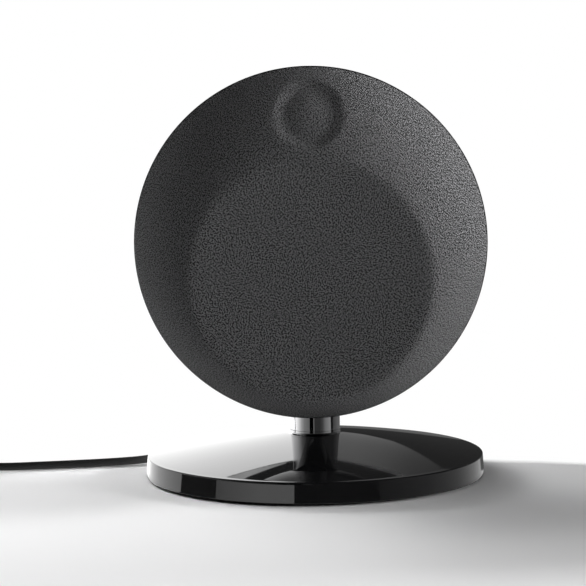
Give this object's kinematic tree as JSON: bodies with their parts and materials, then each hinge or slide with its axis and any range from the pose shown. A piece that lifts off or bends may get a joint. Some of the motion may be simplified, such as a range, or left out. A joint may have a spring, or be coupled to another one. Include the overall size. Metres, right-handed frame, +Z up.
{
  "type": "compact loudspeaker on a swivel stand",
  "caption": "Round two-way loudspeaker head with a domed cloth grille, on a short tilting stem and a round swivel base.",
  "frame": {"origin": "centre of the face that the foot stands on, on the swivel axis", "axes": "+Z up, -Y is the way the grille faces, +X to the right for someone who looks at the grille"},
  "size_m": [0.297, 0.1742, 0.1735],
  "materials": {
    "gloss_black": "piano black, high gloss",
    "satin_black": "fine moulded grain",
    "rubber": "matt",
    "zinc_steel": "bright zinc",
    "ferrite": "ground grey",
    "bright_metal": "polished",
    "dark_steel": "dark coat",
    "lead_sheath": "satin sheath",
    "strap": "hook-and-loop strap",
    "copper": "enamelled",
    "cone_paper": "pressed fibre",
    "spider_cloth": "resin-treated cloth",
    "grille_cloth": "dark grey knitted cloth",
    "wadding": "loose fibre",
    "board": "lacquered laminate",
    "film": "dipped film",
    "ceramic_white": "cement body"
  },
  "bodies": {
    "base": {"base_disc": "gloss_black", "base_cover": "satin_black", "cover_screws": "zinc_steel", "foot_ring": "rubber", "ballast_ring": "ferrite", "foot_collar": "bright_metal", "lead_gland": "satin_black", "gland_clip": "zinc_steel", "inner_lead": "lead_sheath", "lead": "lead_sheath", "lead_coil": "lead_sheath", "lead_tie": "strap", "lead_tail": "lead_sheath", "plug_body": "satin_black", "plug_collar": "bright_metal", "plug_pin": "bright_metal"},
    "stem": {"swivel_washer": "bright_metal", "spring_washer": "zinc_steel", "swivel_nut": "zinc_steel", "stem_post": "dark_steel", "stem_sleeve": "bright_metal", "stem_wires": "copper", "pivot_screws": "zinc_steel", "pivot_washers": "rubber"},
    "cone": {"woofer_cone": "cone_paper", "dust_cap": "cone_paper", "voice_coil": "copper"},
    "dome": {"tweeter_dome": "cone_paper"},
    "grille": {"grille_frame": "satin_black", "grille_cloth": "grille_cloth"},
    "head": {"head_shell": "gloss_black", "baffle_gasket": "rubber", "baffle": "satin_black", "baffle_screws": "zinc_steel", "grille_cups": "rubber", "woofer_basket": "dark_steel", "woofer_screws": "zinc_steel", "woofer_surround": "rubber", "woofer_spider": "spider_cloth", "top_plate": "dark_steel", "magnet_ring": "ferrite", "back_plate": "dark_steel", "tweeter_plate": "satin_black", "tweeter_screws": "zinc_steel", "tweeter_cup": "dark_steel", "tweeter_magnet": "dark_steel", "crossover_board": "board", "board_screws": "zinc_steel", "choke_coil": "copper", "capacitors": "film", "resistor": "ceramic_white", "wadding": "wadding", "woofer_wires": "copper", "tweeter_wires": "copper", "terminal_strip": "satin_black"}
  },
  "joints": [
    {"name": "swivel", "type": "hinge", "parent": "base", "child": "stem", "pos_m": [0, 0, 0.0174], "axis": [0, 0, 1], "range_deg": [-85, 85]},
    {"name": "tilt", "type": "hinge", "parent": "stem", "child": "head", "pos_m": [0, 0, 0.06022], "axis": [-1, 0, 0], "range_deg": [-10, 15]},
    {"name": "cone_travel", "type": "slide", "parent": "head", "child": "cone", "axis": [0, -1, 0], "range_m": [-0.003, 0.003], "stiffness_N_per_m": 1200, "deforming": ["woofer_surround", "woofer_spider"]},
    {"name": "dome_travel", "type": "slide", "parent": "head", "child": "dome", "axis": [0, -1, 0], "range_m": [-0.0003, 0.0003], "stiffness_N_per_m": 1000},
    {"name": "grille_pull", "type": "slide", "parent": "head", "child": "grille", "axis": [0, -1, 0], "range_m": [0, 0.025]}
  ]
}
